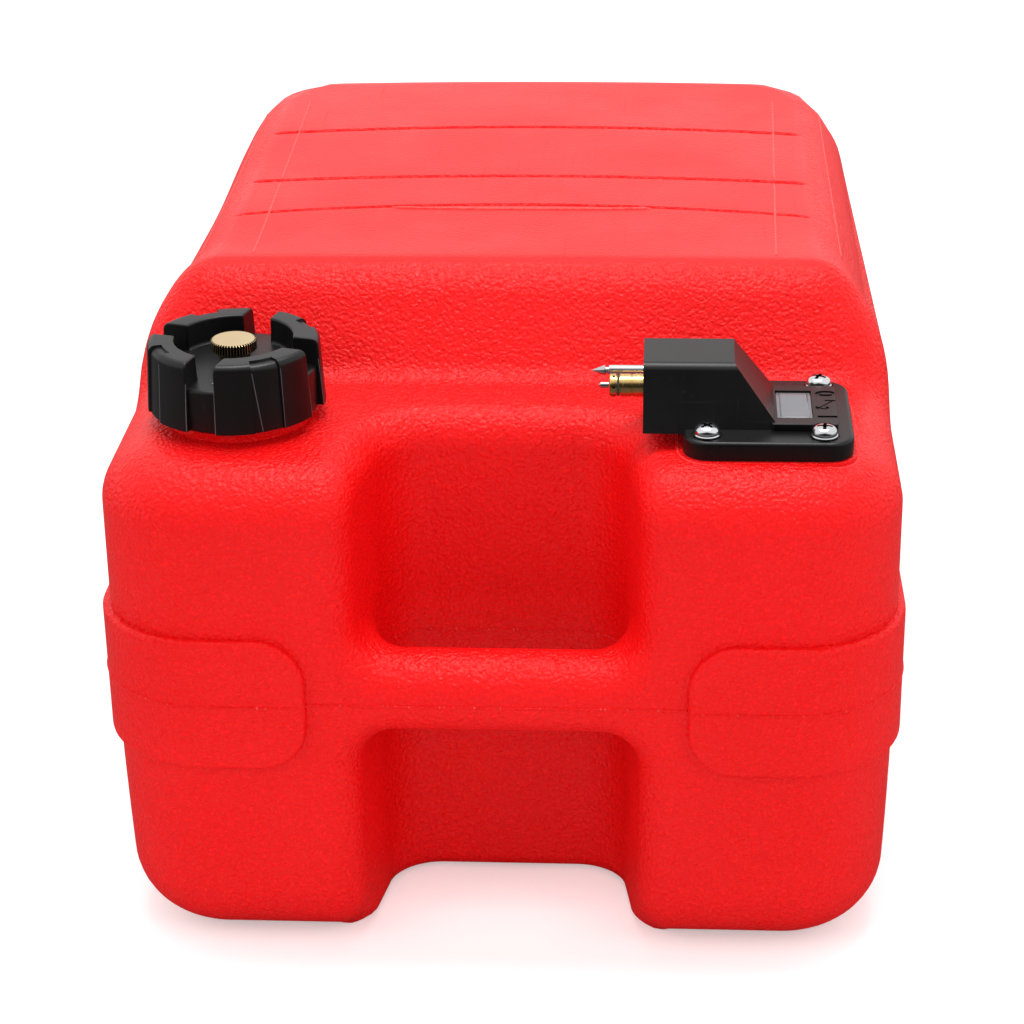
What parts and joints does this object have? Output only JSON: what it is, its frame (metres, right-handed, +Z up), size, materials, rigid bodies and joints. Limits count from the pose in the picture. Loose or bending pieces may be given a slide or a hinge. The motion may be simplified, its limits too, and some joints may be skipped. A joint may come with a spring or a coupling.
{
  "type": "portable outboard fuel tank",
  "caption": "Moulded boat fuel tank with a hand channel and carrying bar, a vented screw cap, and a float gauge whose housing carries the hose connector.",
  "frame": {"origin": "on the floor, under the middle of the tank's length and width", "axes": "+X across the tank towards the meter, +Y from the handle side to the back, +Z up"},
  "size_m": [0.303, 0.417, 0.2355],
  "materials": {
    "tank_red": "satin, fine leathery grain",
    "black_plastic": "satin",
    "black_rubber": "matte",
    "brass": "turned",
    "steel": "drawn",
    "bright_steel": "polished",
    "window": "clear",
    "grey_plastic": "matte",
    "float_foam": "matte, closed cells",
    "clear_plastic": "translucent",
    "white_plastic": "matte"
  },
  "bodies": {
    "tank": {"tank_shell": "tank_red", "threaded_inserts": "brass", "meter_housing": "black_plastic", "housing_seal": "black_rubber", "mounting_screws": "bright_steel", "screw_washers": "bright_steel", "gauge_window": "window", "pivot_pin": "steel", "pickup_tube": "clear_plastic", "tube_clamp": "steel", "pickup_strainer": "white_plastic", "fuel_nipple": "brass", "nipple_ring": "black_rubber", "valve_spring": "steel", "guide_pin": "bright_steel"},
    "cap_seal": {"cap_gasket": "black_rubber"},
    "cap": {"filler_cap": "black_plastic", "vent_bush": "brass"},
    "vent_seal": {"vent_ring": "black_rubber"},
    "vent": {"vent_screw": "brass", "vent_clip": "steel"},
    "gauge": {"gauge_drum": "grey_plastic", "float_arm": "steel", "float_body": "float_foam", "float_clips": "steel"},
    "valve": {"valve_pin": "brass"}
  },
  "joints": [
    {"name": "cap_rise", "type": "slide", "parent": "tank", "child": "cap_seal", "axis": [0, 0, 1], "range_m": [0, 0.0075]},
    {"name": "cap_turn", "type": "hinge", "parent": "cap_seal", "child": "cap", "pos_m": [-0.0995, -0.1415, 0.2], "axis": [0, 0, 1], "range_deg": [0, 540]},
    {"name": "vent_rise", "type": "slide", "parent": "cap", "child": "vent_seal", "axis": [0, 0, 1], "range_m": [0, 0.003]},
    {"name": "vent_turn", "type": "hinge", "parent": "vent_seal", "child": "vent", "pos_m": [-0.0995, -0.1415, 0.2], "axis": [0, 0, 1], "range_deg": [0, 720]},
    {"name": "float_swing", "type": "hinge", "parent": "tank", "child": "gauge", "pos_m": [0.1076, -0.1512, 0.186], "axis": [1, 0, 0], "range_deg": [0, 65]},
    {"name": "valve_push", "type": "slide", "parent": "tank", "child": "valve", "axis": [1, 0, 0], "range_m": [0, 0.0025], "stiffness_N_per_m": 200, "springref_m": -0.002, "deforming": ["valve_spring"]}
  ],
  "couplings": [
    {"joint": "cap_rise", "follows": "cap_turn", "m_per_rad": 0.000795},
    {"joint": "vent_rise", "follows": "vent_turn", "m_per_rad": 0.000238}
  ]
}
